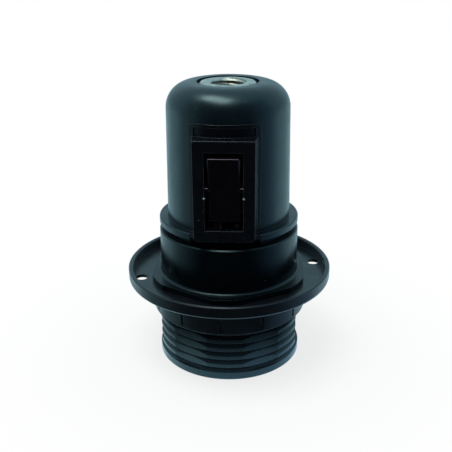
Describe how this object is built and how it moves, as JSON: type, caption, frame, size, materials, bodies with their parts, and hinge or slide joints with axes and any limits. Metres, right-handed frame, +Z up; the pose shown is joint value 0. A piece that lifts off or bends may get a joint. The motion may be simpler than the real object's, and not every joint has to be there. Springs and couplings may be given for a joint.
{
  "type": "switched lamp holder",
  "caption": "Black moulded screw lamp holder with a domed cap, a rocker switch in its side, a threaded cable entry on top and a flanged shade ring on a threaded barrel.",
  "frame": {"origin": "centre of the foot, on the plane it stands on", "axes": "+Z up the holder's axis to the cable entry, -Y towards the rocker, +X to the right seen from the rocker"},
  "size_m": [0.057, 0.057, 0.078],
  "materials": {
    "black_moulding": "satin",
    "rocker_moulding": "gloss",
    "zinc_steel": "zinc plated",
    "spring_steel": "drawn wire",
    "brass": "stamped",
    "bronze": "rolled",
    "nickel": "nickel plated",
    "switch_insulator": "matt",
    "block_ceramic": "matt"
  },
  "bodies": {
    "holder": {"dome_cap": "black_moulding", "lower_body": "black_moulding", "switch_frame": "black_moulding", "entry_bush": "zinc_steel", "bush_nut": "zinc_steel", "entry_lock_screw": "zinc_steel", "switch_screws": "zinc_steel", "terminal_screws": "zinc_steel", "common_contact": "brass", "fixed_contact": "brass", "live_link": "brass", "neutral_strap": "brass", "live_terminal": "brass", "neutral_terminal": "brass", "neutral_rivet": "brass", "shell_rivet": "brass", "centre_rivet": "brass", "centre_contact": "bronze", "screw_shell": "nickel", "switch_base": "switch_insulator", "contact_block": "block_ceramic"},
    "rocker": {"rocker": "rocker_moulding", "switch_plunger": "brass", "plunger_spring": "spring_steel"},
    "tumbler": {"tumbler_contact": "brass"},
    "shade_ring": {"shade_ring": "black_moulding"}
  },
  "joints": [
    {"name": "rocker_tilt", "type": "hinge", "parent": "holder", "child": "rocker", "pos_m": [0, -0.0179, 0.0542], "axis": [1, 0, 0], "range_deg": [-18, 0]},
    {"name": "tumbler_rock", "type": "hinge", "parent": "holder", "child": "tumbler", "pos_m": [0, -0.0082, 0.0542], "axis": [1, 0, 0], "range_deg": [0, 18]},
    {"name": "ring_travel", "type": "slide", "parent": "holder", "child": "shade_ring", "axis": [0, 0, -1], "range_m": [0, 0.028]}
  ],
  "couplings": [
    {"joint": "tumbler_rock", "follows": "rocker_tilt", "ratio": -1}
  ]
}
